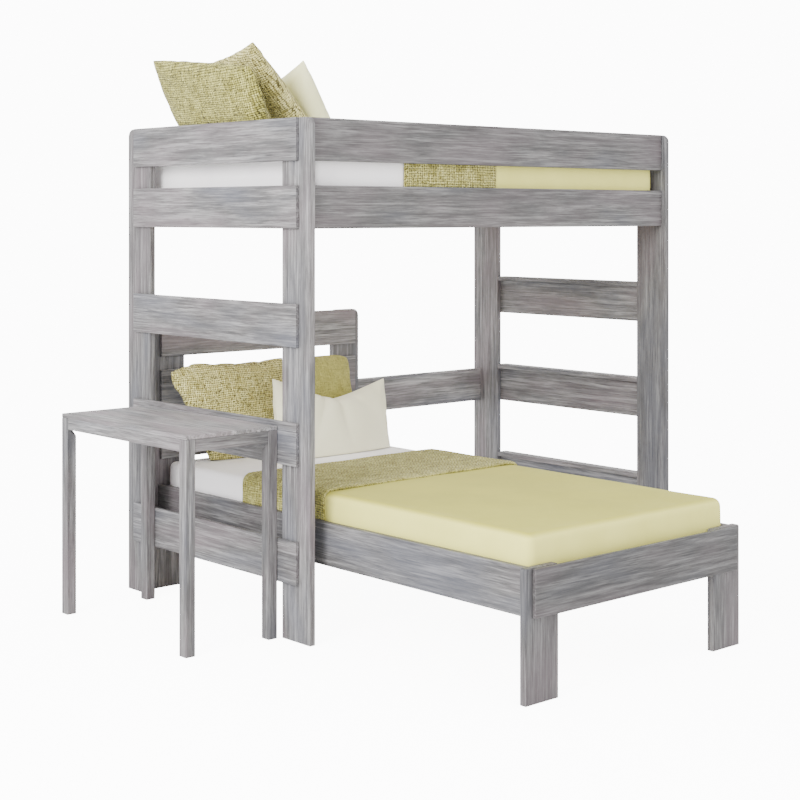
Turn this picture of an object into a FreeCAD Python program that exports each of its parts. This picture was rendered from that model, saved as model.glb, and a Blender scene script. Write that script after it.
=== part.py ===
"""Loft bed set: a raised twin bed, a second twin bed that slides out from under it, and a small desk.

Millimetres, +Z up, +X along the raised bed, +Y from the lower bed's foot to its head.
The origin is on the floor, at the middle of the whole set's outline.
"""

import os
import re

import FreeCAD
import Part
import Sketcher

doc = FreeCAD.newDocument("loft_bed_set")

SIZES = [
    # boards shared by both beds
    ("board_width", 152),
    ("board_thick", 25),
    ("lap_thick", 16),
    ("corner_round", 30),
    ("edge_ease", 3),
    ("rail_setback", 20),
    # raised bed
    ("loft_length", 2030),
    ("loft_width", 1118),
    ("loft_height", 1840),
    ("lap_inset", 58),
    ("guard_gap", 86),
    ("rung_base", 202),
    ("tread_depth", 60),
    ("tread_thick", 20),
    ("stretcher_base", 610),
    # lower bed
    ("bed_length", 1990),
    ("bed_width", 1110),
    ("bed_offset", 68),
    ("bed_back_gap", 55),
    ("head_height", 1081),
    ("foot_height", 420),
    ("bed_rail_base", 266),
    ("head_rail_gap", 53),
    ("bed_lap_thick", 14),
    ("bed_lap_inset", 30),
    # desk
    ("desk_depth", 400),
    ("desk_length", 790),
    ("desk_height", 752),
    ("desk_gap", 2),
    ("desk_start", 156),
    ("top_thick", 15),
    ("leg_side", 40),
    ("leg_cut", 18),
    ("apron_height", 43),
    ("apron_thick", 18),
    ("apron_setback", 2),
    ("brace_thick", 2.5),
    ("brace_height", 36),
    ("brace_reach", 60),
    ("bolt_radius", 3),
    ("bolt_bite", 20),
    ("bolt_end", 3),
    ("nut_radius", 5.8),
    ("nut_thick", 5),
    # mattress support
    ("slat_width", 90),
    ("slat_thick", 18),
    ("slat_play", 3),
    ("loft_slat_rise", 14),
    ("bed_slat_drop", 4),
    ("cleat_height", 40),
    ("cleat_thick", 25),
    ("cleat_play", 1),
    # fasteners
    ("dowel_radius", 4),
    ("dowel_play", 0.5),
    ("lap_dowel_bite", 10),
    ("post_dowel_bite", 12),
    ("end_dowel_bite", 25),
    ("dowel_step_across", 46),
    ("dowel_step_up", 70),
    ("bracket_leaf", 40),
    ("bracket_hole_spot", 24),
    ("bracket_height", 110),
    ("bracket_thick", 3),
    ("screw_radius", 2.2),
    ("screw_length", 15),
    ("head_radius", 4.5),
    ("head_thick", 2.5),
    ("screw_step_up", 60),
    # bedding
    ("mattress_length", 1905),
    ("mattress_width", 985),
    ("mattress_thick", 170),
    ("mattress_round", 25),
    ("loft_mattress_end_gap", 52),
    ("bed_mattress_end_gap", 11),
    ("cover_thick", 5),
    ("throw_thick", 8),
    ("hem_rise", 30),
    ("loft_sheet_length", 430),
    ("bed_sheet_length", 498),
    ("loft_throw_width", 487),
    ("bed_throw_width", 459),
    ("pillow_round", 40),
    ("pillow_play", 1.5),
    ("outer_start", 276),
    ("outer_width", 614),
    ("outer_height", 400),
    ("outer_thick", 120),
    ("outer_lean", 25),
    ("middle_start", 388),
    ("middle_width", 500),
    ("middle_height", 500),
    ("middle_thick", 90),
    ("middle_lean", 44),
    ("inner_start", 388),
    ("inner_width", 560),
    ("inner_height", 400),
    ("inner_thick", 90),
    ("inner_lean", 31),
    ("low_pillow_width", 575),
    ("low_pillow_height", 370),
    ("low_pillow_thick", 110),
    ("small_pillow_width", 385),
    ("front_pillow_width", 590),
    ("front_pillow_height", 280),
    ("low_pillow_start", 25),
    ("low_pillow_gap", 10),
    ("front_pillow_start", 427),
    ("back_lean", 10),
    ("front_lean", 22),
]

sheet = doc.addObject("Spreadsheet::Sheet", "Sizes")
for row, (alias, size) in enumerate(SIZES, start=1):
    sheet.set(f"A{row}", alias)
    sheet.set(f"B{row}", str(size))
    sheet.setAlias(f"B{row}", alias)
doc.recompute()

ALIASES = sorted((alias for alias, _ in SIZES), key=len, reverse=True)
ALIAS_WORD = re.compile(r"\b(" + "|".join(ALIASES) + r")\b")
VALUES = dict(SIZES)

SLAT_COUNT = 12
# How far along the cleats each slat's middle lies.
SLAT_SPOTS = [f"{(k + 0.5) / SLAT_COUNT:.5f}" for k in range(SLAT_COUNT)]
UPRIGHT = 90
# The sides a sketched rectangle is drawn with, before its sizes are bound.
DRAWN_WIDE, DRAWN_TALL = 100, 50
HALF_DIAGONAL = 0.7071067811865476
BASE_PLANES = {"XY": "XY_Plane", "XZ": "XZ_Plane", "YZ": "YZ_Plane"}

nodes = []

# Positions of the raised bed's front left floor corner, from the set's outline:
# desk edge to tread edge along X, lower bed foot to raised bed back along Y.
X_LOW = "(lap_thick + desk_gap + desk_depth)"
X_HIGH = "(loft_length + tread_depth - board_thick)"
LOFT_X = f"(({X_LOW} - {X_HIGH}) / 2)"
BED_FRONT = "(bed_length + bed_lap_thick + bed_back_gap - loft_width)"
LOFT_Y = f"(({BED_FRONT} - loft_width) / 2)"
BED_X = f"({LOFT_X} + bed_offset)"
BED_Y = f"({LOFT_Y} + loft_width - bed_back_gap - bed_length)"
DESK_X = f"({LOFT_X} - {X_LOW})"
DESK_Y = f"({LOFT_Y} + desk_start)"


def bound(text):
    """The expression with every size name pointed at the sheet."""
    return ALIAS_WORD.sub(r"Sizes.\1", str(text))


def number(text):
    """The present value of a size expression."""
    return float(sheet.evalExpression(bound(text)))


def place(item, x=0, y=0, z=0):
    """Binds an object's position."""
    for axis, text in (("x", x), ("y", y), ("z", z)):
        item.setExpression(f"Placement.Base.{axis}", bound(text))


def turn(item, *rotation):
    """Gives an object a fixed rotation; its position stays bound."""
    item.Placement = FreeCAD.Placement(item.Placement.Base, FreeCAD.Rotation(*rotation))


def node(item, label):
    """Marks an object as a finished sub-part."""
    item.Label = label
    nodes.append(item)
    return item


def plane_of(body, name):
    for feature in body.Origin.OriginFeatures:
        if feature.Role == BASE_PLANES[name]:
            return feature
    raise ValueError(name)


def new_sketch(body, plane, lift=0):
    """A sketch on one of the body's base planes, lifted along the plane's normal."""
    sketch = body.newObject("Sketcher::SketchObject", body.Name + "_sketch")
    sketch.AttachmentSupport = [(plane_of(body, plane), "")]
    sketch.MapMode = "FlatFace"
    if lift:
        sketch.setExpression("AttachmentOffset.Base.z", bound(lift))
    return sketch


def add_rectangle(sketch, wide, tall):
    """A rectangle from the sketch origin, with its two sides bound."""
    outline = ((0, 0), (DRAWN_WIDE, 0), (DRAWN_WIDE, DRAWN_TALL), (0, DRAWN_TALL))
    corners = [FreeCAD.Vector(*c, 0) for c in outline]
    for first, second in zip(corners, corners[1:] + corners[:1]):
        sketch.addGeometry(Part.LineSegment(first, second), False)
    for line in range(4):
        sketch.addConstraint(Sketcher.Constraint("Coincident", line, 2, (line + 1) % 4, 1))
    for line, kind in enumerate(("Horizontal", "Vertical", "Horizontal", "Vertical")):
        sketch.addConstraint(Sketcher.Constraint(kind, line))
    sketch.addConstraint(Sketcher.Constraint("Coincident", 0, 1, -1, 1))
    width = sketch.addConstraint(Sketcher.Constraint("DistanceX", 0, 1, 0, 2, DRAWN_WIDE))
    height = sketch.addConstraint(Sketcher.Constraint("DistanceY", 1, 1, 1, 2, DRAWN_TALL))
    sketch.setExpression(f"Constraints[{width}]", bound(wide))
    sketch.setExpression(f"Constraints[{height}]", bound(tall))


def add_circle(sketch, across, up, radius):
    """A circle whose centre and radius are bound."""
    centre = FreeCAD.Vector(number(across), number(up), 0)
    circle = sketch.addGeometry(Part.Circle(centre, FreeCAD.Vector(0, 0, 1), 1), False)
    for kind, text in (("DistanceX", across), ("DistanceY", up)):
        size = sketch.addConstraint(Sketcher.Constraint(kind, -1, 1, circle, 3, number(text)))
        sketch.setExpression(f"Constraints[{size}]", bound(text))
    size = sketch.addConstraint(Sketcher.Constraint("Radius", circle, number(radius)))
    sketch.setExpression(f"Constraints[{size}]", bound(radius))


def board(name, plane, wide, tall, thick, round_corners=None, ease="edge_ease"):
    """A flat board drawn in one plane, with eased edges and, if asked, rounded top corners."""
    body = doc.addObject("PartDesign::Body", name)
    sketch = new_sketch(body, plane)
    add_rectangle(sketch, wide, tall)
    pad = body.newObject("PartDesign::Pad", name + "_pad")
    pad.Profile = sketch
    pad.setExpression("Length", bound(thick))
    pad.Reversed = plane == "XZ"
    doc.recompute()
    last = pad
    if round_corners:
        top = number(tall)
        edges = [
            f"Edge{i}"
            for i, edge in enumerate(last.Shape.Edges, start=1)
            if all(abs(v.Point.z - top) < 1e-6 for v in edge.Vertexes)
            and abs(edge.Length - number(thick)) < 1e-6
        ]
        fillet = body.newObject("PartDesign::Fillet", name + "_corners")
        fillet.Base = (last, edges)
        fillet.setExpression("Radius", bound(round_corners))
        doc.recompute()
        last = fillet
    fillet = body.newObject("PartDesign::Fillet", name + "_ease")
    fillet.Base = (last, ["Edge1"])
    fillet.UseAllEdges = True
    fillet.setExpression("Radius", bound(ease))
    doc.recompute()
    return body


def drill(body, plane, lift, spots, radius, depth):
    """Blind holes into a board from a plane, in whichever direction meets wood."""
    sketch = new_sketch(body, plane, lift)
    for across, up in spots:
        add_circle(sketch, across, up, radius)
    before = body.Shape.Volume
    pocket = body.newObject("PartDesign::Pocket", body.Name + "_holes")
    pocket.Profile = sketch
    pocket.setExpression("Length", bound(depth))
    doc.recompute()
    if abs(body.Shape.Volume - before) < 1:
        pocket.Reversed = True
        doc.recompute()
    return body


def bar(name, length, width, height, x=0, y=0, z=0):
    """A plain rectangular block, placed."""
    block = doc.addObject("Part::Box", name)
    for side, text in (("Length", length), ("Width", width), ("Height", height)):
        block.setExpression(side, bound(text))
    place(block, x, y, z)
    return block


def rod(name, radius, length, axis, x, y, z):
    """A round rod along one row axis, starting at the given point."""
    cylinder = doc.addObject("Part::Cylinder", name)
    cylinder.setExpression("Radius", bound(radius))
    cylinder.setExpression("Height", bound(length))
    place(cylinder, x, y, z)
    if axis == "X":
        turn(cylinder, FreeCAD.Vector(0, 1, 0), 90)
    if axis == "-X":
        turn(cylinder, FreeCAD.Vector(0, 1, 0), -90)
    if axis == "Y":
        turn(cylinder, FreeCAD.Vector(1, 0, 0), -90)
    if axis == "-Y":
        turn(cylinder, FreeCAD.Vector(1, 0, 0), 90)
    return cylinder


def group(label, members):
    """Separate solids that share one sub-part."""
    compound = doc.addObject("Part::Compound", label)
    compound.Links = members
    return node(compound, label)


def pillow(label, across, up, thick, lean, x, y, z, yaw):
    """A rounded cushion of the given width, height and thickness.

    Its lower back edge is at x, y, z, its width runs along +X before it is turned, and it leans back.
    """
    body = board(label, "XY", across, up, thick, ease="pillow_round")
    place(body, x, y, z)
    turn(body, yaw, 0, UPRIGHT - VALUES[lean])
    return node(body, label)


# ---------------------------------------------------------------- raised bed: levels and dowel spots

SIDE_LEVEL = "(loft_height - board_width - guard_gap - board_width)"
LEVELS = {
    "guard": "(loft_height - board_width)",
    "side": SIDE_LEVEL,
    "upper": f"(rung_base + ({SIDE_LEVEL} - rung_base) * 2 / 3)",
    "middle": f"(rung_base + ({SIDE_LEVEL} - rung_base) / 3)",
    "lower": "rung_base",
}
NAMES = {"guard": "guard_rail", "side": "side_rail", "upper": "rung_upper",
         "middle": "rung_middle", "lower": "rung_lower"}
LAP_PAIR = [("-dowel_step_across / 2", "-dowel_step_up / 2"),
            ("dowel_step_across / 2", "dowel_step_up / 2")]
LAP_MIDDLE = "((board_width + lap_inset) / 2)"
FAR_LAP_MIDDLE = f"(board_width - {LAP_MIDDLE})"
STRETCHER_LINE = "(board_width - rail_setback - board_thick / 2)"
BRACKET_SPOT = "(rail_setback + board_thick + bracket_hole_spot)"
SCREW_PAIR = ["-screw_step_up / 2", "screw_step_up / 2"]
BRACKET_LEVELS = ["guard", "side"]

dowels = []
brackets = []
screws = []


def bracket(name, x, y, z, turns):
    """A steel angle plate; its corner is the origin and its leaves point along +X and +Y before turning."""
    body = doc.addObject("PartDesign::Body", name)
    sketch = new_sketch(body, "XY")
    leaf, thick = VALUES["bracket_leaf"], VALUES["bracket_thick"]
    outline = [(0, 0), (leaf, 0), (leaf, thick), (thick, thick), (thick, leaf), (0, leaf)]
    points = [FreeCAD.Vector(*p, 0) for p in outline]
    for first, second in zip(points, points[1:] + points[:1]):
        sketch.addGeometry(Part.LineSegment(first, second), False)
    for line in range(6):
        sketch.addConstraint(Sketcher.Constraint("Coincident", line, 2, (line + 1) % 6, 1))
        sketch.addConstraint(Sketcher.Constraint("Vertical" if line % 2 else "Horizontal", line))
    sketch.addConstraint(Sketcher.Constraint("Coincident", 0, 1, -1, 1))
    for kind, line, size in (("DistanceX", 0, "bracket_leaf"), ("DistanceY", 1, "bracket_thick")):
        spot = sketch.addConstraint(Sketcher.Constraint(kind, line, 1, line, 2, VALUES[size]))
        sketch.setExpression(f"Constraints[{spot}]", bound(size))
    for kind, line, size in (("DistanceX", 4, "bracket_thick"), ("DistanceY", 5, "bracket_leaf")):
        spot = sketch.addConstraint(Sketcher.Constraint(kind, line, 2, line, 1, VALUES[size]))
        sketch.setExpression(f"Constraints[{spot}]", bound(size))
    pad = body.newObject("PartDesign::Pad", name + "_pad")
    pad.Profile = sketch
    pad.setExpression("Length", "Sizes.bracket_height")
    doc.recompute()
    rise = [("bracket_hole_spot", f"bracket_height / 2 + ({step})") for step in SCREW_PAIR]
    drill(body, "XZ", "0", rise, "screw_radius", "bracket_thick")
    drill(body, "YZ", "0", rise, "screw_radius", "bracket_thick")
    place(body, x, y, z)
    turn(body, FreeCAD.Vector(0, 0, 1), turns)
    brackets.append(body)


def screw(name, axis, x, y, z):
    """A pan-head screw: the point is where its head meets the plate, the axis is the way it is driven."""
    shank = rod(name + "_shank", "screw_radius", "screw_length", axis, x, y, z)
    offset = {"X": ("-head_thick", "0"), "-X": ("head_thick", "0"),
              "Y": ("0", "-head_thick"), "-Y": ("0", "head_thick")}[axis]
    head = rod(name + "_head", "head_radius", "head_thick", axis,
               f"{x} + ({offset[0]})", f"{y} + ({offset[1]})", z)
    joined = doc.addObject("Part::Fuse", name)
    joined.Base = head
    joined.Tool = shank
    screws.append(joined)


def corner_fixing(name, rail_face, post_face, middle, rail_way, post_way):
    """A bracket in the corner between a rail's inner face (y) and a post's inner face (x), with four screws.

    rail_way is the sign of +Y into the room side, post_way the sign of +X away from the post.
    """
    turns = {(1, 1): 0, (-1, 1): -90, (1, -1): 90, (-1, -1): 180}[(rail_way, post_way)]
    low = f"{middle} - bracket_height / 2"
    bracket(name, post_face, rail_face, low, turns)
    for k, step in enumerate(SCREW_PAIR):
        height = f"{middle} + ({step})"
        along_x = f"{post_face} + ({post_way}) * bracket_hole_spot"
        along_y = f"{rail_face} + ({rail_way}) * bracket_hole_spot"
        screw(f"{name}_rail_screw_{k}", "-Y" if rail_way > 0 else "Y",
              along_x, f"{rail_face} + ({rail_way}) * bracket_thick", height)
        screw(f"{name}_post_screw_{k}", "-X" if post_way > 0 else "X",
              f"{post_face} + ({post_way}) * bracket_thick", along_y, height)


# ---------------------------------------------------------------- raised bed: posts

for side, right in (("left", False), ("right", True)):
    for depth, back in (("front", False), ("back", True)):
        name = f"loft_post_{depth}_{side}"
        post = board(name, "YZ", "board_width", "loft_height", "board_thick", "corner_round")
        lap_line = FAR_LAP_MIDDLE if back else LAP_MIDDLE
        spots = [
            (f"{lap_line} + ({across})", f"{base} + board_width / 2 + ({up})")
            for base in LEVELS.values()
            for across, up in LAP_PAIR
        ]
        outer, inner = ("board_thick", "0") if right else ("0", "board_thick")
        drill(post, "YZ", outer, spots, "dowel_radius", "post_dowel_bite + dowel_play")
        line = f"(board_width - {BRACKET_SPOT})" if back else BRACKET_SPOT
        spots = [
            (line, f"{LEVELS[level]} + board_width / 2 + ({step})")
            for level in BRACKET_LEVELS
            for step in SCREW_PAIR
        ]
        drill(post, "YZ", inner, spots, "screw_radius", "screw_length - bracket_thick")
        if back:
            spots = [(STRETCHER_LINE, f"stretcher_base + board_width / 2 + ({up})") for _, up in LAP_PAIR]
            drill(post, "YZ", inner, spots, "dowel_radius", "post_dowel_bite + dowel_play")
        place(post,
              f"{LOFT_X} + loft_length - board_thick" if right else LOFT_X,
              f"{LOFT_Y} + loft_width - board_width" if back else LOFT_Y,
              0)
        node(post, name)

# ---------------------------------------------------------------- raised bed: lapped end rails and rungs

LAP_LENGTH = "(loft_width - 2 * lap_inset)"
NEAR_LAP = f"({LAP_MIDDLE} - lap_inset)"
FAR_LAP = f"({LAP_LENGTH} - {NEAR_LAP})"

for side, right in (("left", False), ("right", True)):
    outer_x = f"({LOFT_X} + loft_length)" if right else f"({LOFT_X} - lap_thick)"
    for level, base in LEVELS.items():
        name = f"{side}_{NAMES[level]}"
        rail = board(name, "YZ", LAP_LENGTH, "board_width", "lap_thick")
        spots = [
            (f"{line} + ({across})", f"board_width / 2 + ({up})")
            for line in (NEAR_LAP, FAR_LAP)
            for across, up in LAP_PAIR
        ]
        drill(rail, "YZ", "0" if right else "lap_thick", spots, "dowel_radius",
              "lap_dowel_bite + dowel_play")
        place(rail, outer_x, f"{LOFT_Y} + lap_inset", base)
        node(rail, name)
        for k, (across, up) in enumerate(spots):
            start = f"{LOFT_X} + loft_length + lap_dowel_bite" if right else f"{LOFT_X} - lap_dowel_bite"
            dowels.append(rod(f"{name}_dowel_{k}", "dowel_radius", "lap_dowel_bite + post_dowel_bite",
                              "-X" if right else "X", start,
                              f"{LOFT_Y} + lap_inset + {across}", f"{base} + {up}"))

treads = []
for level in ("upper", "middle", "lower"):
    tread = board(f"tread_{level}", "XY", "tread_depth", "loft_width - 2 * board_width",
                  "tread_thick")
    place(tread, f"{LOFT_X} + loft_length - board_thick", f"{LOFT_Y} + board_width",
          f"{LEVELS[level]} + board_width")
    treads.append(tread)
group("ladder_treads", treads)

# ---------------------------------------------------------------- raised bed: long rails and stretcher

LONG_LENGTH = "(loft_length - 2 * board_thick)"
FRONT_RAIL_Y = f"({LOFT_Y} + rail_setback)"
BACK_RAIL_Y = f"({LOFT_Y} + loft_width - rail_setback - board_thick)"
LEFT_FACE = f"({LOFT_X} + board_thick)"
RIGHT_FACE = f"({LOFT_X} + loft_length - board_thick)"

for depth, back in (("front", False), ("back", True)):
    for level in BRACKET_LEVELS:
        name = f"{depth}_{NAMES[level]}"
        rail = board(name, "XZ", LONG_LENGTH, "board_width", "board_thick")
        spots = [
            (across, f"board_width / 2 + ({step})")
            for across in ("bracket_hole_spot", f"{LONG_LENGTH} - bracket_hole_spot")
            for step in SCREW_PAIR
        ]
        drill(rail, "XZ", "0" if back else "-board_thick", spots, "screw_radius",
              "screw_length - bracket_thick")
        rail_y = BACK_RAIL_Y if back else FRONT_RAIL_Y
        place(rail, LEFT_FACE, rail_y, LEVELS[level])
        node(rail, name)
        inner = rail_y if back else f"({FRONT_RAIL_Y} + board_thick)"
        middle = f"{LEVELS[level]} + board_width / 2"
        way = -1 if back else 1
        corner_fixing(f"{name}_left_bracket", inner, LEFT_FACE, middle, way, 1)
        corner_fixing(f"{name}_right_bracket", inner, RIGHT_FACE, middle, way, -1)

stretcher = board("back_stretcher", "XZ", LONG_LENGTH, "board_width", "board_thick")
for end in ("0", LONG_LENGTH):
    drill(stretcher, "YZ", end, [("board_thick / 2", f"board_width / 2 + ({up})") for _, up in LAP_PAIR],
          "dowel_radius", "end_dowel_bite + dowel_play")
place(stretcher, LEFT_FACE, BACK_RAIL_Y, "stretcher_base")
node(stretcher, "back_stretcher")
for k, (_, up) in enumerate(LAP_PAIR):
    for side, start in (("left", f"{LOFT_X} + board_thick - post_dowel_bite"),
                        ("right", f"{RIGHT_FACE} - end_dowel_bite")):
        dowels.append(rod(f"stretcher_dowel_{side}_{k}", "dowel_radius",
                          "post_dowel_bite + end_dowel_bite", "X", start,
                          f"{BACK_RAIL_Y} + board_thick / 2",
                          f"stretcher_base + board_width / 2 + ({up})"))

# ---------------------------------------------------------------- raised bed: slatted base

LOFT_SLAT_TOP = f"({LEVELS['side']} + board_width / 2 + loft_slat_rise)"
LOFT_INSIDE = "(loft_width - 2 * rail_setback - 2 * board_thick)"
LOFT_CLEAT_LENGTH = f"({LONG_LENGTH} - 2 * bracket_leaf - 2 * cleat_play)"
cleat_z = f"{LOFT_SLAT_TOP} - slat_thick - cleat_height"
cleat_x = f"{LEFT_FACE} + bracket_leaf + cleat_play"
group("loft_cleats", [
    bar("loft_cleat_front", LOFT_CLEAT_LENGTH, "cleat_thick", "cleat_height",
        cleat_x, f"{FRONT_RAIL_Y} + board_thick", cleat_z),
    bar("loft_cleat_back", LOFT_CLEAT_LENGTH, "cleat_thick", "cleat_height",
        cleat_x, f"{BACK_RAIL_Y} - cleat_thick", cleat_z),
])
slats = []
for k, spot in enumerate(SLAT_SPOTS):
    slats.append(bar(f"loft_slat_{k}", "slat_width", f"{LOFT_INSIDE} - 2 * slat_play", "slat_thick",
                     f"{cleat_x} + {LOFT_CLEAT_LENGTH} * {spot} - slat_width / 2",
                     f"{FRONT_RAIL_Y} + board_thick + slat_play", f"{LOFT_SLAT_TOP} - slat_thick"))
group("loft_slats", slats)
group("loft_dowels", dowels)
group("loft_brackets", brackets)
group("loft_screws", screws)

# ---------------------------------------------------------------- lower bed: head

BED_LEVELS = {
    "top": "(head_height - board_width)",
    "middle": "(head_height - 2 * board_width - head_rail_gap)",
    "lower": "(head_height - 3 * board_width - 2 * head_rail_gap)",
}
BED_LAP_MIDDLE = "((board_width + bed_lap_inset) / 2)"
BED_LAP_LENGTH = "(bed_width - 2 * bed_lap_inset)"
HEAD_FACE = f"({BED_Y} + bed_length - board_thick)"
FOOT_FACE = f"({BED_Y} + board_thick)"
BED_RAIL_MIDDLE = "(bed_rail_base + board_width / 2)"
dowels = []
brackets = []
screws = []

for side, right in (("left", False), ("right", True)):
    lap_line = f"(board_width - {BED_LAP_MIDDLE})" if right else BED_LAP_MIDDLE
    bracket_line = f"(board_width - {BRACKET_SPOT})" if right else BRACKET_SPOT
    post_x = f"{BED_X} + bed_width - board_width" if right else BED_X
    screw_spots = [(bracket_line, f"{BED_RAIL_MIDDLE} + ({step})") for step in SCREW_PAIR]

    post = board(f"bed_head_post_{side}", "XZ", "board_width", "head_height", "board_thick",
                 "corner_round")
    spots = [
        (f"{lap_line} + ({across})", f"{base} + board_width / 2 + ({up})")
        for base in BED_LEVELS.values()
        for across, up in LAP_PAIR
    ]
    drill(post, "XZ", "0", spots, "dowel_radius", "post_dowel_bite + dowel_play")
    drill(post, "XZ", "0", screw_spots, "screw_radius", "screw_length - bracket_thick")
    place(post, post_x, HEAD_FACE, 0)
    node(post, f"bed_head_post_{side}")

    leg = board(f"bed_foot_leg_{side}", "XZ", "board_width", "foot_height", "board_thick",
                "corner_round / 3")
    spots = [(f"{lap_line} + ({across})", f"{BED_RAIL_MIDDLE} + ({up})") for across, up in LAP_PAIR]
    drill(leg, "XZ", "0", spots, "dowel_radius", "post_dowel_bite + dowel_play")
    drill(leg, "XZ", "-board_thick", screw_spots, "screw_radius", "screw_length - bracket_thick")
    place(leg, post_x, BED_Y, 0)
    node(leg, f"bed_foot_leg_{side}")

NEAR_BED_LAP = f"({BED_LAP_MIDDLE} - bed_lap_inset)"
FAR_BED_LAP = f"({BED_LAP_LENGTH} - {NEAR_BED_LAP})"
lap_rails = [(f"bed_head_rail_{level}", base, HEAD_FACE) for level, base in BED_LEVELS.items()]
lap_rails.append(("bed_foot_rail", "bed_rail_base", BED_Y))
for name, base, post_face in lap_rails:
    rail = board(name, "XZ", BED_LAP_LENGTH, "board_width", "bed_lap_thick")
    spots = [
        (f"{line} + ({across})", f"board_width / 2 + ({up})")
        for line in (NEAR_BED_LAP, FAR_BED_LAP)
        for across, up in LAP_PAIR
    ]
    drill(rail, "XZ", "-bed_lap_thick", spots, "dowel_radius", "lap_dowel_bite + dowel_play")
    place(rail, f"{BED_X} + bed_lap_inset", f"{post_face} - bed_lap_thick", base)
    node(rail, name)
    for k, (across, up) in enumerate(spots):
        dowels.append(rod(f"{name}_dowel_{k}", "dowel_radius", "lap_dowel_bite + post_dowel_bite", "Y",
                          f"{BED_X} + bed_lap_inset + {across}", f"{post_face} - lap_dowel_bite",
                          f"{base} + {up}"))

# ---------------------------------------------------------------- lower bed: side rails and slatted base

SIDE_LENGTH = "(bed_length - 2 * board_thick)"
BED_INSIDE = "(bed_width - 2 * rail_setback - 2 * board_thick)"
LEFT_RAIL_X = f"({BED_X} + rail_setback)"
RIGHT_RAIL_X = f"({BED_X} + bed_width - rail_setback - board_thick)"
BED_SLAT_TOP = "(bed_rail_base + board_width / 2 - bed_slat_drop)"

for side, right in (("left", False), ("right", True)):
    rail = board(f"bed_side_rail_{side}", "YZ", SIDE_LENGTH, "board_width", "board_thick")
    spots = [
        (across, f"board_width / 2 + ({step})")
        for across in ("bracket_hole_spot", f"{SIDE_LENGTH} - bracket_hole_spot")
        for step in SCREW_PAIR
    ]
    drill(rail, "YZ", "0" if right else "board_thick", spots, "screw_radius",
          "screw_length - bracket_thick")
    place(rail, RIGHT_RAIL_X if right else LEFT_RAIL_X, FOOT_FACE, "bed_rail_base")
    node(rail, f"bed_side_rail_{side}")
    face = RIGHT_RAIL_X if right else f"({LEFT_RAIL_X} + board_thick)"
    for end, post_face, way in (("foot", FOOT_FACE, 1), ("head", HEAD_FACE, -1)):
        corner_fixing(f"bed_{side}_{end}_bracket", post_face, face, BED_RAIL_MIDDLE, way,
                      -1 if right else 1)

BED_CLEAT_LENGTH = f"({SIDE_LENGTH} - 2 * bracket_leaf - 2 * cleat_play)"
cleat_z = f"{BED_SLAT_TOP} - slat_thick - cleat_height"
cleat_y = f"{FOOT_FACE} + bracket_leaf + cleat_play"
group("bed_cleats", [
    bar("bed_cleat_left", "cleat_thick", BED_CLEAT_LENGTH, "cleat_height",
        f"{LEFT_RAIL_X} + board_thick", cleat_y, cleat_z),
    bar("bed_cleat_right", "cleat_thick", BED_CLEAT_LENGTH, "cleat_height",
        f"{RIGHT_RAIL_X} - cleat_thick", cleat_y, cleat_z),
])
slats = []
for k, spot in enumerate(SLAT_SPOTS):
    slats.append(bar(f"bed_slat_{k}", f"{BED_INSIDE} - 2 * slat_play", "slat_width", "slat_thick",
                     f"{LEFT_RAIL_X} + board_thick + slat_play",
                     f"{cleat_y} + {BED_CLEAT_LENGTH} * {spot} - slat_width / 2",
                     f"{BED_SLAT_TOP} - slat_thick"))
group("bed_slats", slats)
group("bed_dowels", dowels)
group("bed_brackets", brackets)
group("bed_screws", screws)

# ---------------------------------------------------------------- bedding


def bedding(prefix, lengthwise, x, y, z, sheet_length, throw_width):
    """A mattress with a cover over its foot and a throw across its middle.

    lengthwise is +1 when the head is at low X (the bed lies along X), -1 when the head is at high Y.
    """
    along_x = lengthwise > 0
    sides = ("mattress_length", "mattress_width") if along_x else ("mattress_width", "mattress_length")
    mattress = board(f"{prefix}_mattress", "XY", *sides, "mattress_thick", ease="mattress_round")
    place(mattress, x, y, z)
    node(mattress, f"{prefix}_mattress")

    def skin(name, thick):
        """The mattress grown by a cloth's thickness, with the mattress itself taken out of it."""
        grown = [f"{side} + 2 * {thick}" for side in sides]
        solid = board(name + "_outside", "XY", *grown, f"mattress_thick + {thick}",
                      ease=f"mattress_round + {thick}")
        place(solid, f"{x} - {thick}", f"{y} - {thick}", z)
        core = board(name + "_inside", "XY", *sides, "mattress_thick", ease="mattress_round")
        place(core, x, y, z)
        cut = doc.addObject("Part::Cut", name + "_skin")
        cut.Base = solid
        cut.Tool = core
        return cut

    def window(name, thick, start, stop):
        """The block of space that a cloth keeps, from start to stop measured from the head end."""
        spread = f"mattress_width + 4 * {thick}"
        height = f"mattress_thick + {thick}"
        low = f"{z} + hem_rise"
        if along_x:
            return bar(name + "_window", f"{stop} - ({start})", spread, height,
                       f"{x} + {start}", f"{y} - 2 * {thick}", low)
        return bar(name + "_window", spread, f"{stop} - ({start})", height,
                   f"{x} - 2 * {thick}", f"{y} + mattress_length - ({stop})", low)

    for kind, thick, start, stop in (
        ("throw", "throw_thick", sheet_length, f"{sheet_length} + {throw_width}"),
        ("cover", "cover_thick", f"{sheet_length} + {throw_width}", "mattress_length + 2 * cover_thick"),
    ):
        name = f"{prefix}_{kind}"
        cloth = doc.addObject("Part::Common", name)
        cloth.Base = skin(name, thick)
        cloth.Tool = window(name, thick, start, stop)
        node(cloth, name)


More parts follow.
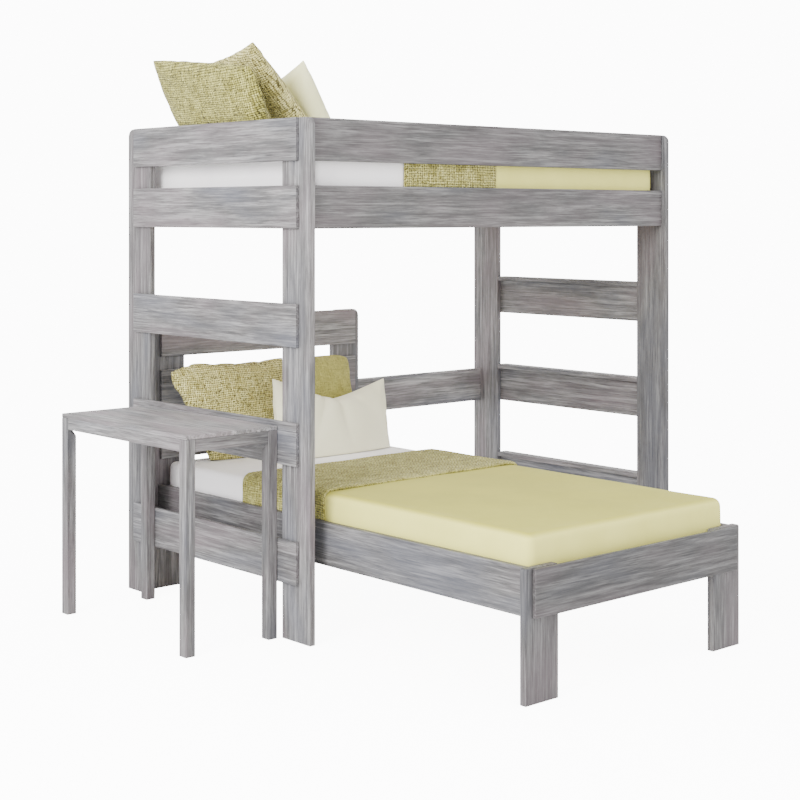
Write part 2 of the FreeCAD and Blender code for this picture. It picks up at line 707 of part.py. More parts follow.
LOFT_MATTRESS_X = f"({LEFT_FACE} + loft_mattress_end_gap)"
LOFT_MATTRESS_Y = f"({LOFT_Y} + (loft_width - mattress_width) / 2)"
BED_MATTRESS_X = f"({BED_X} + (bed_width - mattress_width) / 2)"
BED_MATTRESS_Y = f"({FOOT_FACE} + bed_mattress_end_gap)"
bedding("loft", 1, LOFT_MATTRESS_X, LOFT_MATTRESS_Y, LOFT_SLAT_TOP,
        "loft_sheet_length", "loft_throw_width")
bedding("bed", -1, BED_MATTRESS_X, BED_MATTRESS_Y, BED_SLAT_TOP,
        "bed_sheet_length", "bed_throw_width")

LOFT_BED_TOP = f"({LOFT_SLAT_TOP} + mattress_thick + pillow_play)"
LOWER_BED_TOP = f"({BED_SLAT_TOP} + mattress_thick + pillow_play)"


def sine(lean):
    return f"sin({lean} * 1 deg)"


def cosine(lean):
    return f"cos({lean} * 1 deg)"


def behind(back_x, thick, front_height, lean, front_lean):
    """The x of a pillow's lower back edge when its top edge rests on the front of the pillow behind it."""
    return (f"({back_x} + (pillow_play + {thick}) / {cosine(lean)}"
            f" - {front_height} * {cosine(front_lean)} * {sine(lean)} / {cosine(lean)}"
            f" + {front_height} * {sine(front_lean)})")


# Pillows on the raised bed: the outer one leans on the left guard rail's top edge, the top of the
# middle one on the outer one's front, and the inner one on the middle one's lower front edge.
OUTER_X = (f"({LOFT_X} + (pillow_play + (loft_height - {LOFT_BED_TOP}) * {sine('outer_lean')})"
           f" / {cosine('outer_lean')})")
MIDDLE_X = behind(OUTER_X, "outer_thick", "middle_height", "outer_lean", "middle_lean")
INNER_X = (f"({MIDDLE_X} + middle_thick * {cosine('middle_lean')} + (pillow_play"
           f" + middle_thick * {sine('middle_lean')} * {sine('inner_lean')}) / {cosine('inner_lean')})")
for name, x in (("outer", OUTER_X), ("middle", MIDDLE_X), ("inner", INNER_X)):
    pillow(f"loft_pillow_{name}", f"{name}_width", f"{name}_height", f"{name}_thick", f"{name}_lean",
           x, f"{LOFT_Y} + {name}_start", LOFT_BED_TOP, 90)

# Pillows on the lower bed: two against the head rails, and a lower one in front leaning on them.
BACK_Y = f"({HEAD_FACE} - bed_lap_thick - pillow_play - low_pillow_height * {sine('back_lean')})"
FRONT_Y = (f"({BACK_Y} - (low_pillow_thick + pillow_play) / {cosine('back_lean')}"
           f" + front_pillow_height * {cosine('front_lean')} * {sine('back_lean')} / {cosine('back_lean')}"
           f" - front_pillow_height * {sine('front_lean')})")
LOW_START = f"({BED_X} + low_pillow_start)"
pillow("bed_pillow_left", "low_pillow_width", "low_pillow_height", "low_pillow_thick", "back_lean",
       LOW_START, BACK_Y, LOWER_BED_TOP, 0)
pillow("bed_pillow_right", "small_pillow_width", "low_pillow_height", "low_pillow_thick", "back_lean",
       f"{LOW_START} + low_pillow_width + low_pillow_gap", BACK_Y, LOWER_BED_TOP, 0)
pillow("bed_pillow_front", "front_pillow_width", "front_pillow_height", "low_pillow_thick",
       "front_lean", f"{BED_X} + front_pillow_start", FRONT_Y, LOWER_BED_TOP, 0)

# ---------------------------------------------------------------- desk

desk_top = board("desk_top", "XY", "desk_depth", "desk_length", "top_thick")
place(desk_top, DESK_X, DESK_Y, "desk_height - top_thick")
node(desk_top, "desk_top")

LEG_HEIGHT = "(desk_height - top_thick)"
CUT_DROP = "(apron_height + leg_cut / 2)"
BOLT_DROP = "(apron_height / 2)"
APRON_FACE = "(apron_setback + apron_thick)"
BRACE_WIDE = f"(brace_reach + brace_thick / {HALF_DIAGONAL:.6f})"


def leg_cutter(name):
    """A wedge that flattens a leg's inner corner behind the aprons and runs out at a slope below them.

    Its origin is the corner, and it reaches along +X into the leg before it is turned.
    """
    body = doc.addObject("PartDesign::Body", name)
    sketch = new_sketch(body, "XZ")
    cut, drop = number("leg_cut"), number(CUT_DROP)
    outline = [(0, 0), (cut, 0), (cut, -drop), (0, -drop - cut)]
    points = [FreeCAD.Vector(*p, 0) for p in outline]
    for first, second in zip(points, points[1:] + points[:1]):
        sketch.addGeometry(Part.LineSegment(first, second), False)
    for line in range(4):
        sketch.addConstraint(Sketcher.Constraint("Coincident", line, 2, (line + 1) % 4, 1))
    sketch.addConstraint(Sketcher.Constraint("Horizontal", 0))
    sketch.addConstraint(Sketcher.Constraint("Vertical", 1))
    sketch.addConstraint(Sketcher.Constraint("Vertical", 3))
    sketch.addConstraint(Sketcher.Constraint("Coincident", 0, 1, -1, 1))
    for kind, line, first, second, text in (
        ("DistanceX", 0, 1, 2, "leg_cut"),
        ("DistanceY", 1, 2, 1, CUT_DROP),
        ("DistanceY", 3, 1, 2, f"{CUT_DROP} + leg_cut"),
    ):
        spot = sketch.addConstraint(Sketcher.Constraint(kind, line, first, line, second, number(text)))
        sketch.setExpression(f"Constraints[{spot}]", bound(text))
    pad = body.newObject("PartDesign::Pad", name + "_pad")
    pad.Profile = sketch
    pad.setExpression("Length", bound("2 * leg_side"))
    pad.Midplane = True
    doc.recompute()
    return body


def cut(name, base, tool):
    result = doc.addObject("Part::Cut", name)
    result.Base = base
    result.Tool = tool
    return result


def along_diagonal(item, corner_x, corner_y, way_x, way_y, distance, z):
    """Puts a rod's foot at a distance from a corner, along the diagonal, and points the rod that way."""
    reach = f"({distance}) * {HALF_DIAGONAL:.6f}"
    place(item, f"{corner_x} + ({way_x}) * {reach}", f"{corner_y} + ({way_y}) * {reach}", z)
    turn(item, FreeCAD.Vector(0, 0, 1), FreeCAD.Vector(way_x, way_y, 0))
    return item


def brace(name):
    """A flat steel plate across the corner between two aprons, in the corner's own +X +Y quarter."""
    body = doc.addObject("PartDesign::Body", name)
    sketch = new_sketch(body, "XY")
    reach, wide = number("brace_reach"), number(BRACE_WIDE)
    outline = [(reach, 0), (wide, 0), (0, wide), (0, reach)]
    points = [FreeCAD.Vector(*p, 0) for p in outline]
    for first, second in zip(points, points[1:] + points[:1]):
        sketch.addGeometry(Part.LineSegment(first, second), False)
    for line in range(4):
        sketch.addConstraint(Sketcher.Constraint("Coincident", line, 2, (line + 1) % 4, 1))
    sketch.addConstraint(Sketcher.Constraint("PointOnObject", 0, 1, -1))
    sketch.addConstraint(Sketcher.Constraint("PointOnObject", 0, 2, -1))
    sketch.addConstraint(Sketcher.Constraint("PointOnObject", 2, 1, -2))
    sketch.addConstraint(Sketcher.Constraint("PointOnObject", 2, 2, -2))
    for kind, line, point, text in (
        ("DistanceX", 0, 1, "brace_reach"),
        ("DistanceX", 0, 2, BRACE_WIDE),
        ("DistanceY", 2, 1, BRACE_WIDE),
        ("DistanceY", 2, 2, "brace_reach"),
    ):
        spot = sketch.addConstraint(Sketcher.Constraint(kind, -1, 1, line, point, number(text)))
        sketch.setExpression(f"Constraints[{spot}]", bound(text))
    pad = body.newObject("PartDesign::Pad", name + "_pad")
    pad.Profile = sketch
    pad.setExpression("Length", bound("brace_height"))
    doc.recompute()
    return body


# Each leg's name, the signs of its inner corner's direction, the turn that points +X back into the leg,
# and the turn that brings a brace's own corner to the aprons' corner.
LEG_CORNERS = [
    ("front_left", 1, 1, 225, 0),
    ("front_right", -1, 1, 315, 90),
    ("back_left", 1, -1, 135, 270),
    ("back_right", -1, -1, 45, 180),
]
LEG_DEPTH = f"(2 * leg_side - 2 * {APRON_FACE})"
FLAT_LINE = f"({LEG_DEPTH} * {HALF_DIAGONAL:.6f} - leg_cut)"
BRACE_LINE = f"(brace_reach * {HALF_DIAGONAL:.6f})"
BOLT_FOOT = f"({FLAT_LINE} - bolt_bite)"
BOLT_LENGTH = f"({BRACE_LINE} - {FLAT_LINE} + bolt_bite + brace_thick + nut_thick + bolt_end)"
braces = []
for corner, way_x, way_y, leg_turn, brace_turn in LEG_CORNERS:
    name = f"desk_leg_{corner}"
    right, back = way_x < 0, way_y < 0
    corner_x = "0" if right else "leg_side"
    corner_y = "0" if back else "leg_side"
    square = board(name + "_square", "XY", "leg_side", "leg_side", LEG_HEIGHT)
    cutter = leg_cutter(name + "_cutter")
    place(cutter, corner_x, corner_y, LEG_HEIGHT)
    turn(cutter, FreeCAD.Vector(0, 0, 1), leg_turn)
    bolt_hole = doc.addObject("Part::Cylinder", name + "_bolt_hole")
    bolt_hole.setExpression("Radius", bound("bolt_radius"))
    bolt_hole.setExpression("Height", bound("bolt_bite + leg_side"))
    face_x = f"leg_side - {APRON_FACE}" if right else APRON_FACE
    face_y = f"leg_side - {APRON_FACE}" if back else APRON_FACE
    along_diagonal(bolt_hole, face_x, face_y, way_x, way_y, f"{BOLT_FOOT} - dowel_play",
                   f"{LEG_HEIGHT} - {BOLT_DROP}")
    leg = cut(name, cut(name + "_flat", square, cutter), bolt_hole)
    leg_x = f"{DESK_X} + desk_depth - leg_side" if right else DESK_X
    leg_y = f"{DESK_Y} + desk_length - leg_side" if back else DESK_Y
    place(leg, leg_x, leg_y, 0)
    node(leg, name)

    world_x, world_y = f"{leg_x} + {face_x}", f"{leg_y} + {face_y}"
    plate = brace(f"brace_{corner}_plate")
    place(plate, world_x, world_y, f"{LEG_HEIGHT} - {BOLT_DROP} - brace_height / 2")
    turn(plate, FreeCAD.Vector(0, 0, 1), brace_turn)
    bolt = doc.addObject("Part::Cylinder", f"brace_{corner}_bolt")
    bolt.setExpression("Radius", bound("bolt_radius"))
    bolt.setExpression("Height", bound(BOLT_LENGTH))
    along_diagonal(bolt, world_x, world_y, way_x, way_y, BOLT_FOOT, f"{LEG_HEIGHT} - {BOLT_DROP}")
    nut = doc.addObject("Part::Prism", f"brace_{corner}_nut")
    nut.Polygon = 6
    nut.setExpression("Circumradius", bound("nut_radius"))
    nut.setExpression("Height", bound("nut_thick"))
    along_diagonal(nut, world_x, world_y, way_x, way_y, f"{BRACE_LINE} + brace_thick",
                   f"{LEG_HEIGHT} - {BOLT_DROP}")
    braces.append(cut(f"brace_{corner}", plate, bolt))
    fixed = doc.addObject("Part::Fuse", f"brace_{corner}_hanger")
    fixed.Base = bolt
    fixed.Tool = nut
    braces.append(fixed)
group("desk_corner_braces", braces)

APRON_Z = "(desk_height - top_thick - apron_height)"
LONG_APRON = "(desk_length - 2 * leg_side)"
SHORT_APRON = "(desk_depth - 2 * leg_side)"
long_aprons = []
for side, apron_x in (("left", f"{DESK_X} + apron_setback"),
                      ("right", f"{DESK_X} + desk_depth - apron_setback - apron_thick")):
    apron = board(f"apron_{side}", "YZ", LONG_APRON, "apron_height", "apron_thick", ease="edge_ease / 2")
    place(apron, apron_x, f"{DESK_Y} + leg_side", APRON_Z)
    long_aprons.append(apron)
group("desk_long_aprons", long_aprons)
short_aprons = []
for depth, apron_y in (("front", f"{DESK_Y} + apron_setback"),
                       ("back", f"{DESK_Y} + desk_length - apron_setback - apron_thick")):
    apron = board(f"apron_{depth}", "XZ", SHORT_APRON, "apron_height", "apron_thick", ease="edge_ease / 2")
    place(apron, f"{DESK_X} + leg_side", apron_y, APRON_Z)
    short_aprons.append(apron)
group("desk_short_aprons", short_aprons)

# ---------------------------------------------------------------- checks and files

doc.recompute()
bad = [item.Label for item in doc.Objects if {"Invalid", "Error"} & set(item.State)]
if bad:
    raise RuntimeError("features failed: " + ", ".join(bad))
for item in nodes:
    shape = item.Shape
    if shape.isNull() or not shape.isValid():
        raise RuntimeError("bad shape: " + item.Label)

os.makedirs("parts", exist_ok=True)
for item in nodes:
    item.Shape.exportStep(f"parts/{item.Label}.step")
print(len(nodes), "sub-parts written")
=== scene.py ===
"""Looks for the loft bed set: grey wood, mattresses, covers, throws and pillows. Metres, row frame."""

import math

import bpy
import numpy as np
from mathutils import Matrix, Vector, noise


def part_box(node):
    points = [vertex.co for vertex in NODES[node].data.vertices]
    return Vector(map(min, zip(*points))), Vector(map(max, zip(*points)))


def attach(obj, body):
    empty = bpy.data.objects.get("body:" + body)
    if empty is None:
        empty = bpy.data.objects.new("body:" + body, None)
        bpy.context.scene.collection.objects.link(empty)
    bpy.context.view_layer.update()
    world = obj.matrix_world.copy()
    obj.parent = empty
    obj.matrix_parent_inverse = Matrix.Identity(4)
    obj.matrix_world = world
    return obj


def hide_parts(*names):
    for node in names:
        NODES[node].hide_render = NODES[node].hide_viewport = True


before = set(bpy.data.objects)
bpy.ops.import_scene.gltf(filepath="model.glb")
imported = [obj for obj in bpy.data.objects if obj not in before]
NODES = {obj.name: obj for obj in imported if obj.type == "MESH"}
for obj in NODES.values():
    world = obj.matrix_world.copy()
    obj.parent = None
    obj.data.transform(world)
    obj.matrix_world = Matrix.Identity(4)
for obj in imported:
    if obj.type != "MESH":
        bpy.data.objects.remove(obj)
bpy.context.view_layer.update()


# ---------------------------------------------------------------- shader helpers
class Shader:
    """A node material under construction. Methods return output sockets."""

    def __init__(self, name):
        self.material = bpy.data.materials.new(name)
        self.material.use_nodes = True
        self.nodes = self.material.node_tree.nodes
        self.links = self.material.node_tree.links
        self.bsdf = self.nodes["Principled BSDF"]
        self.coords = self.nodes.new("ShaderNodeTexCoord").outputs["Object"]

    def plug(self, socket, value):
        if isinstance(value, bpy.types.NodeSocket):
            self.links.new(value, socket)
        elif value is not None:
            socket.default_value = value

    def math(self, operation, first, second=None, third=None):
        item = self.nodes.new("ShaderNodeMath")
        item.operation = operation
        for socket, value in zip(item.inputs, (first, second, third)):
            self.plug(socket, value)
        return item.outputs[0]

    def mapping(self, vector, location=(0, 0, 0), scale=(1, 1, 1)):
        item = self.nodes.new("ShaderNodeMapping")
        self.links.new(vector, item.inputs["Vector"])
        item.inputs["Location"].default_value = location
        item.inputs["Scale"].default_value = scale
        return item.outputs[0]

    def noise(self, vector, scale, detail=3.0, roughness=0.5, distortion=0.0):
        item = self.nodes.new("ShaderNodeTexNoise")
        self.links.new(vector, item.inputs["Vector"])
        item.inputs["Scale"].default_value = scale
        item.inputs["Detail"].default_value = detail
        item.inputs["Roughness"].default_value = roughness
        item.inputs["Distortion"].default_value = distortion
        return item.outputs["Fac"]

    def ramp(self, value, *stops):
        item = self.nodes.new("ShaderNodeValToRGB")
        self.links.new(value, item.inputs["Fac"])
        elements = item.color_ramp.elements
        while len(elements) < len(stops):
            elements.new(0.5)
        for element, (position, colour) in zip(elements, stops):
            element.position = position
            element.color = (*colour, 1)
        return item.outputs["Color"]

    def level(self, value, low, high, out_low=0.0, out_high=1.0):
        item = self.nodes.new("ShaderNodeMapRange")
        item.clamp = True
        for name, number in (("From Min", low), ("From Max", high),
                             ("To Min", out_low), ("To Max", out_high)):
            item.inputs[name].default_value = number
        self.links.new(value, item.inputs["Value"])
        return item.outputs["Result"]

    def mix(self, factor, first, second):
        item = self.nodes.new("ShaderNodeMix")
        item.data_type = "RGBA"
        self.plug(item.inputs["Factor"], factor)
        for name, value in (("A", first), ("B", second)):
            socket = next(s for s in item.inputs if s.name == name and s.type == "RGBA")
            if isinstance(value, tuple):
                value = (*value, 1)
            self.plug(socket, value)
        return next(s for s in item.outputs if s.type == "RGBA")

    def split(self, vector):
        item = self.nodes.new("ShaderNodeSeparateXYZ")
        self.links.new(vector, item.inputs[0])
        return item.outputs

    def join(self, x, y, z):
        item = self.nodes.new("ShaderNodeCombineXYZ")
        for socket, value in zip(item.inputs, (x, y, z)):
            self.plug(socket, value)
        return item.outputs[0]

    def bump(self, height, strength, distance, normal=None):
        item = self.nodes.new("ShaderNodeBump")
        item.inputs["Strength"].default_value = strength
        item.inputs["Distance"].default_value = distance
        self.links.new(height, item.inputs["Height"])
        if normal is not None:
            self.links.new(normal, item.inputs["Normal"])
        return item.outputs["Normal"]

    def finish(self, colour, roughness, normal=None, **settings):
        self.plug(self.bsdf.inputs["Base Color"], colour)
        self.plug(self.bsdf.inputs["Roughness"], roughness)
        if normal is not None:
            self.links.new(normal, self.bsdf.inputs["Normal"])
        for name, value in settings.items():
            self.bsdf.inputs[name.replace("_", " ")].default_value = value
        return self.material


def srgb(red, green, blue):
    """A linear colour from 0-255 display values."""

    def one(value):
        share = value / 255
        return share / 12.92 if share <= 0.04045 else ((share + 0.055) / 1.055) ** 2.4

    return one(red), one(green), one(blue)


# ---------------------------------------------------------------- wood
def stretched(axis, along, across):
    """Texture scales for a grain that runs along one axis."""
    return tuple(along if k == axis else across for k in range(3))


def grey_wood(name, axis, seed, tone=1.0):
    """Grey-stained wood. The grain runs along the axis; the seed moves it, so that no two boards match."""

    # tone scales the board's colours; besides the stain it carries painted shade on the front boards and
    # painted light on the desk top and the back stretcher.
    def grey(red, green, blue):
        return srgb(*(min(250, tone * value) for value in (red, green, blue)))

    s = Shader(name)
    shift = (seed * 1.37 % 7, seed * 2.11 % 5, seed * 0.73 % 9)
    grain = s.mapping(s.coords, location=shift, scale=stretched(axis, 0.42, 11.0))
    bands = s.mapping(s.coords, location=shift, scale=stretched(axis, 0.35, 9.0))
    patches = s.mapping(s.coords, location=shift, scale=stretched(axis, 1.0, 3.2))
    dashes = s.mapping(s.coords, location=shift, scale=stretched(axis, 0.7, 20.0))
    fibre = s.noise(grain, 17.0, 7.0, 0.68, 0.06)
    cloud = s.noise(patches, 4.6, 4.0, 0.6, 0.2)
    streak = s.noise(bands, 7.0, 6.0, 0.7, 0.12)
    flecks = s.noise(dashes, 13.0, 3.0, 0.55)
    tint = s.noise(patches, 2.1, 2.0, 0.5)
    base = s.ramp(fibre, (0.30, grey(68, 66, 66)), (0.44, grey(102, 100, 100)),
                  (0.58, grey(130, 128, 128)), (0.72, grey(170, 168, 167)))
    base = s.mix(s.level(cloud, 0.44, 0.66, 0.0, 0.60), base, grey(86, 85, 86))
    base = s.mix(s.level(streak, 0.52, 0.66, 0.0, 0.65), base, grey(174, 172, 172))
    base = s.mix(s.level(streak, 0.48, 0.36, 0.0, 0.60), base, grey(72, 70, 71))
    base = s.mix(s.level(flecks, 0.58, 0.70, 0.0, 0.65), base, grey(48, 45, 45))
    base = s.mix(s.level(tint, 0.47, 0.70, 0.0, 0.45), base, grey(128, 113, 119))
    base = s.mix(s.level(tint, 0.48, 0.28, 0.0, 0.40), base, grey(98, 102, 116))
    relief = s.math("ADD", fibre, s.math("MULTIPLY", flecks, -0.6))
    normal = s.bump(relief, 0.35, 0.0012)
    return s.finish(base, s.level(fibre, 0.3, 0.7, 0.62, 0.48), normal, Specular_IOR_Level=0.35)


def raw_wood(name, axis, light, dark):
    s = Shader(name)
    grain = s.mapping(s.coords, scale=stretched(axis, 1.0, 9.0))
    rings = s.noise(grain, 9.0, 5.0, 0.6, 0.8)
    pores = s.noise(s.mapping(s.coords, scale=stretched(axis, 1.0, 26.0)), 22.0, 3.0)
    base = s.ramp(rings, (0.3, dark), (0.55, light), (0.8, tuple(1.06 * c for c in light)))
    base = s.mix(s.level(pores, 0.6, 0.75, 0.0, 0.4), base, tuple(0.7 * c for c in dark))
    return s.finish(base, 0.6, s.bump(rings, 0.2, 0.0008))


def zinc(name):
    s = Shader(name)
    spangle = s.noise(s.coords, 240.0, 3.0)
    base = s.ramp(spangle, (0.35, srgb(150, 152, 156)), (0.65, srgb(200, 201, 204)))
    return s.finish(base, s.level(spangle, 0.3, 0.7, 0.30, 0.46), s.bump(spangle, 0.15, 0.0003), Metallic=0.9)


# ---------------------------------------------------------------- cloth materials
COTTON_THREAD = 0.0011
COTTON_SHEEN = 0.25


def smooth_cloth(name, light, dark, warm):
    """Plain-woven cotton: a fine thread relief, faint blotches and a soft sheen."""
    s = Shader(name)
    x, y, z = s.split(s.coords)
    k = 2 * math.pi / COTTON_THREAD
    weave = s.math("MULTIPLY", s.math("SINE", s.math("MULTIPLY", x, k)),
                   s.math("SINE", s.math("MULTIPLY", s.math("ADD", y, z), k)))
    cloud = s.noise(s.coords, 5.0, 4.0, 0.55)
    slub = s.noise(s.mapping(s.coords, scale=(1.0, 9.0, 9.0)), 40.0, 3.0)
    base = s.ramp(cloud, (0.30, dark), (0.62, light))
    base = s.mix(s.level(slub, 0.45, 0.75, 0.0, 0.18), base, warm)
    relief = s.math("ADD", s.math("MULTIPLY", weave, 0.25), s.math("MULTIPLY", slub, 0.8))
    normal = s.bump(relief, 0.12, 0.0006)
    return s.finish(base, 0.85, normal, Sheen_Weight=COTTON_SHEEN, Sheen_Roughness=0.5,
                    Specular_IOR_Level=0.2)


def weave_cloth(name, across, along, pitch, light, mid, dark, gap_shade, contrast=1.0, streaks=0.3):
    """A coarse plain weave. across and along turn the shader's x, y, z into the two yarn directions."""
    s = Shader(name)
    x, y, z = s.split(s.coords)
    wobble = s.noise(s.coords, 55.0, 2.0)
    sway = s.noise(s.coords, 9.0, 2.0)
    u = s.math("ADD", across(s, x, y, z), s.math("MULTIPLY", wobble, 0.7 * pitch))
    v = s.math("ADD", along(s, x, y, z), s.math("MULTIPLY", sway, 1.3 * pitch))
    column = s.math("DIVIDE", u, pitch)
    row = s.math("DIVIDE", v, pitch)
    su = s.math("ABSOLUTE", s.math("SINE", s.math("MULTIPLY", column, math.pi)))
    sv = s.math("ABSOLUTE", s.math("SINE", s.math("MULTIPLY", row, math.pi)))
    parity = s.math("PINGPONG", s.math("ADD", s.math("FLOOR", column), s.math("FLOOR", row)), 1.0)
    warp = s.math("MULTIPLY", s.math("POWER", sv, 0.6), s.math("MULTIPLY_ADD", su, 0.35, 0.65))
    weft = s.math("MULTIPLY", s.math("POWER", su, 0.6), s.math("MULTIPLY_ADD", sv, 0.35, 0.65))
    height = s.math("ADD", s.math("MULTIPLY", warp, parity),
                    s.math("MULTIPLY", weft, s.math("SUBTRACT", 1.0, parity)))
    yarn = s.noise(s.join(s.math("MULTIPLY", u, 5.0), s.math("MULTIPLY", v, 42.0), 0.0), 4.0, 3.0, 0.6)
    yarn_across = s.noise(s.join(s.math("MULTIPLY", u, 42.0), s.math("MULTIPLY", v, 5.0), 3.0), 4.0, 3.0, 0.6)
    fleck = s.noise(s.coords, 135.0, 2.0, 0.6)
    grain = s.noise(s.join(s.math("MULTIPLY", u, 9.0), s.math("MULTIPLY", v, 1.5), 5.0), 5.0, 3.0, 0.6)
    tone = s.math("ADD", s.math("MULTIPLY", yarn, 0.5), s.math("MULTIPLY", yarn_across, 0.5))
    base = s.ramp(tone, (0.40, dark), (0.49, mid), (0.58, light))
    base = s.mix(s.level(grain, 0.48, 0.66, 0.0, streaks), base, dark)
    base = s.mix(s.level(grain, 0.46, 0.34, 0.0, streaks), base, light)
    # Where the weave is low, between the yarns, and at random holes the colour turns to gap_shade: painted
    # shade in the hollows of the weave.
    base = s.mix(s.level(height, 0.30, 0.74, contrast, 0.0), base, gap_shade)
    base = s.mix(s.level(fleck, 0.54, 0.64, 0.0, 0.9 * contrast), base, gap_shade)
    relief = s.math("ADD", height, s.math("MULTIPLY", fleck, -0.5))
    normal = s.bump(relief, 0.8, 0.003)
    return s.finish(base, 0.92, normal, Sheen_Weight=0.12, Sheen_Roughness=0.6, Specular_IOR_Level=0.12)


def top_shaded_cloth(name, top_height, top, top_shade, side, side_shade):
    """Smooth cotton whose top is coloured darker than its sides, as painted shade on the top and painted
    light on the sides. top_height is where the two meet.
    """
    s = Shader(name)
    x, y, z = s.split(s.coords)
    cloud = s.noise(s.coords, 5.0, 4.0, 0.55)
    slub = s.noise(s.mapping(s.coords, scale=(1.0, 9.0, 9.0)), 40.0, 3.0)
    painted_shade_top = s.ramp(cloud, (0.35, top_shade), (0.65, top))
    painted_light_side = s.ramp(cloud, (0.35, side_shade), (0.65, side))
    edge = s.math("ADD", z, s.math("MULTIPLY", s.math("SUBTRACT", cloud, 0.5), 0.01))
    # Above top_height the darker top colours are painted shade; below it the paler side colours are painted
    # light.
    base = s.mix(s.level(edge, top_height - 0.012, top_height + 0.001), painted_light_side, painted_shade_top)
    normal = s.bump(slub, 0.12, 0.0005)
    return s.finish(base, 0.85, normal, Sheen_Weight=0.1, Sheen_Roughness=0.5, Specular_IOR_Level=0.2)


# ---------------------------------------------------------------- wooden parts
GRAIN = {"ladder_treads": 1, "desk_long_aprons": 1, "desk_short_aprons": 0,
         "loft_slats": 1, "bed_slats": 0, "loft_cleats": 0, "bed_cleats": 1}


def longest(node):
    low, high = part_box(node)
    sides = list(high - low)
    return sides.index(max(sides))


def dress(node, material):
    item = NODES[node]
    item.data.materials.clear()
    item.data.materials.append(material)


# How much lighter or darker than the rest each board is made: partly its own stain, partly painted light. The
# boards that face the front are darkened as painted shade; the desk top and the back stretcher are lightened
# as painted light.
STAIN_AND_PAINTED_LIGHT = {"front_guard_rail": 0.82, "front_side_rail": 0.87, "bed_foot_rail": 0.72, "bed_foot_leg_left": 0.83,
        "bed_foot_leg_right": 0.86, "loft_post_front_right": 0.84, "loft_post_back_left": 0.87,
        "loft_post_back_right": 1.04, "desk_top": 1.16, "back_stretcher": 1.16, "bed_head_rail_top": 1.06,
        "bed_head_rail_middle": 1.06, "bed_head_rail_lower": 1.06, "left_guard_rail": 0.93,
        "bed_side_rail_left": 0.92, "desk_leg_front_left": 0.90, "desk_leg_front_right": 0.90,
        "desk_leg_back_left": 0.92, "desk_leg_back_right": 0.92, "desk_short_aprons": 0.90}

HARDWARE = zinc("zinc_steel")
for number, node in enumerate(sorted(NODES)):
    axis = GRAIN[node] if node in GRAIN else longest(node)
    if node.endswith(("_screws", "_brackets", "_braces")):
        dress(node, HARDWARE)
    elif node.endswith(("_slats", "_cleats")):
        dress(node, raw_wood(f"{node}_pine", axis, srgb(214, 190, 150), srgb(178, 148, 104)))
    elif node.endswith("_dowels"):
        dress(node, raw_wood(f"{node}_beech", 1, srgb(222, 196, 158), srgb(190, 158, 116)))
    elif not node.endswith(("_mattress", "_cover", "_throw")) and "_pillow" not in node:
        # Each board's tone: a few per cent at random, its stain, and painted shade on the front boards,
        # painted light on the desk top and back stretcher.
        tone = 0.95 * STAIN_AND_PAINTED_LIGHT.get(node, 0.97) * (1.0 + 0.03 * math.sin(number * 2.4))
        dress(node, grey_wood(f"{node}_grey", axis, number + 1, tone))


# ---------------------------------------------------------------- mesh helpers
def make_object(name, points, faces, smooth=True):
    mesh = bpy.data.meshes.new(name)
    mesh.from_pydata([tuple(p) for p in points], [], faces)
    mesh.validate()
    if smooth:
        mesh.polygons.foreach_set("use_smooth", [True] * len(mesh.polygons))
    item = bpy.data.objects.new(name, mesh)
    bpy.context.scene.collection.objects.link(item)
    return item


def apply_modifiers(item):
    bpy.context.view_layer.update()
    done = bpy.data.meshes.new_from_object(item.evaluated_get(bpy.context.evaluated_depsgraph_get()))
    item.modifiers.clear()
    item.data = done
    return item


def wavy(point, scale, seed):
    return noise.noise(Vector((point[0] * scale + seed, point[1] * scale, point[2] * scale)))


def rounded_block(low, high, radius, step, crown, ripple, seed, keep=None):
    """A soft block: rounded edges, a crowned top, and a slight unevenness. keep picks the faces that stay."""
    low, high = np.array(low, float), np.array(high, float)
    size = high - low
    counts = [max(2, int(round(s / step))) for s in size]
    points, faces, index = [], [], {}

    def spot(i, j, k):
        key = (i, j, k)
        if key not in index:
            index[key] = len(points)
            points.append(low + size * np.array([i / counts[0], j / counts[1], k / counts[2]]))
        return index[key]

    for axis in range(3):
        a, b = [(1, 2), (2, 0), (0, 1)][axis]
        for side in (0, counts[axis]):
            for p in range(counts[a]):
                for q in range(counts[b]):
                    corners = []
                    for da, db in ((0, 0), (1, 0), (1, 1), (0, 1)):
                        cell = [0, 0, 0]
                        cell[axis], cell[a], cell[b] = side, p + da, q + db
                        corners.append(spot(*cell))
                    faces.append(corners if side else corners[::-1])
    cloud = np.array(points)
    inner_low, inner_high = low + radius, high - radius
    core = np.clip(cloud, inner_low, inner_high)
    out = cloud - core
    length = np.linalg.norm(out, axis=1)
    normal = out / np.maximum(length, 1e-9)[:, None]
    cloud = core + normal * radius
    share = (cloud - low) / size * 2 - 1
    lift = crown * (1 - share[:, 0] ** 4) * (1 - share[:, 1] ** 4) * np.clip(share[:, 2], 0, 1)
    cloud[:, 2] += lift
    bulge = ripple * 2.0 * (1 - share[:, 2] ** 2)
    for n in range(len(cloud)):
        p = cloud[n]
        side = math.hypot(normal[n, 0], normal[n, 1])
        cloud[n] += normal[n] * (ripple * wavy(p, 5.0, seed) + bulge[n] * side)
    if keep is not None:
        centres = cloud[np.array(faces)].mean(axis=1)
        faces = [f for f, c in zip(faces, centres) if keep(c)]
        used = sorted({i for f in faces for i in f})
        renumber = {old: new for new, old in enumerate(used)}
        cloud = cloud[used]
        faces = [[renumber[i] for i in f] for f in faces]
    return cloud, faces


# ---------------------------------------------------------------- mattresses, covers and throws
SHEET_WHITE = smooth_cloth("white_cotton", srgb(252, 249, 249), srgb(243, 239, 241), srgb(252, 249, 246))

